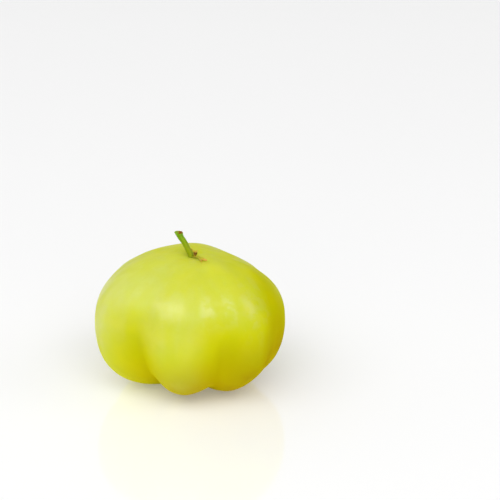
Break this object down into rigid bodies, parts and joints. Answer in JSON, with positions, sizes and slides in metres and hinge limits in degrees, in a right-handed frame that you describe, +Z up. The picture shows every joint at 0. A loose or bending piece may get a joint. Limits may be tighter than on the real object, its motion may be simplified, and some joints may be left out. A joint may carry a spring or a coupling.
{
  "type": "star gooseberry",
  "caption": "Whole ripe star gooseberry: a waxy yellow-green ribbed berry, wider than tall, with its short curved stalk and dry sepals, standing on the flat spots under its lobes.",
  "frame": {"origin": "on the table under the middle of the bounding box, the fruit standing on the flat spots under its lobes", "axes": "+Z up along the fruit's own axis from base to stalk; -Y towards the side that shows best, with the stalk leaning to -X"},
  "size_m": [0.022, 0.0234, 0.0182],
  "materials": {
    "skin": "smooth waxy skin, yellow-green, translucent, greener by the stalk and deeper yellow in the creases and towards the base",
    "stalk": "fresh green stalk, faintly ribbed, olive at the foot and dry brown at the cut end",
    "sepals": "papery dry sepals, yellow-green to tan with dark brown and pinkish tips"
  },
  "bodies": {
    "root": {"fruit": "skin", "stem": "stalk", "sepal_front": "sepals", "sepal_right": "sepals", "sepal_back": "sepals"}
  },
  "joints": []
}
